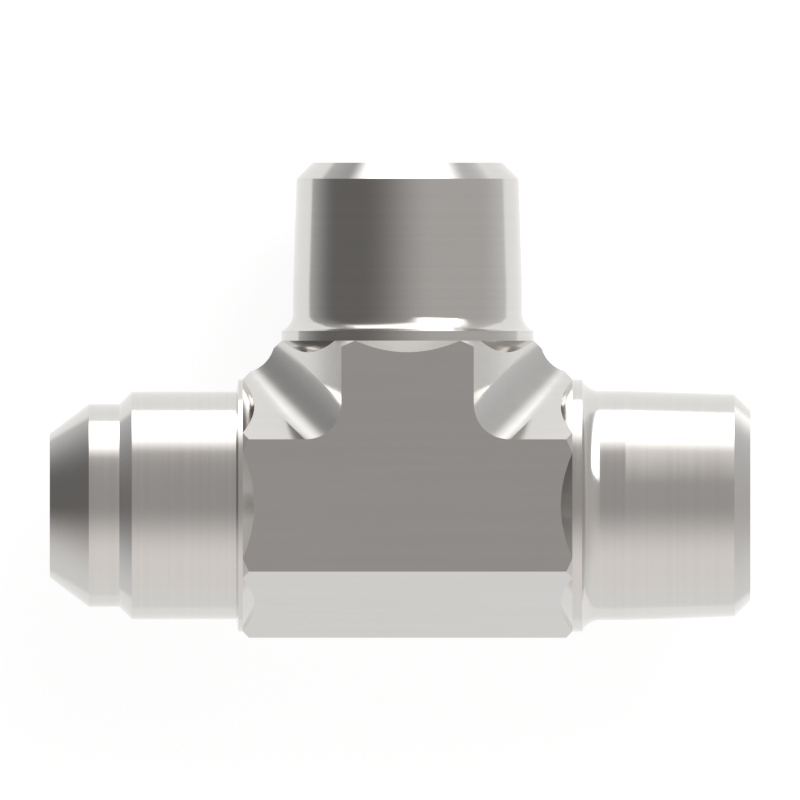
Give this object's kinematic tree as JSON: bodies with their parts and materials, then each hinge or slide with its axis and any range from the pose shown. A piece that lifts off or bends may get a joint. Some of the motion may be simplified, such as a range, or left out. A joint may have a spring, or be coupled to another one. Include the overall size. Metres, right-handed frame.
{
  "type": "flare tee adapter",
  "caption": "Steel tee fitting with a male 37 degree flare end opposite a male taper pipe end, and a second male taper pipe end on its branch.",
  "frame": {"origin": "crossing of the run's axis and the branch's axis", "axes": "+X along the run towards its taper pipe end, +Y along the branch towards its end, +Z square to both, up from the surface that the tee lies on"},
  "size_m": [0.0826, 0.056, 0.0298],
  "materials": {
    "body_steel": "satin"
  },
  "bodies": {
    "root": {"tee_body": "body_steel"}
  },
  "joints": []
}
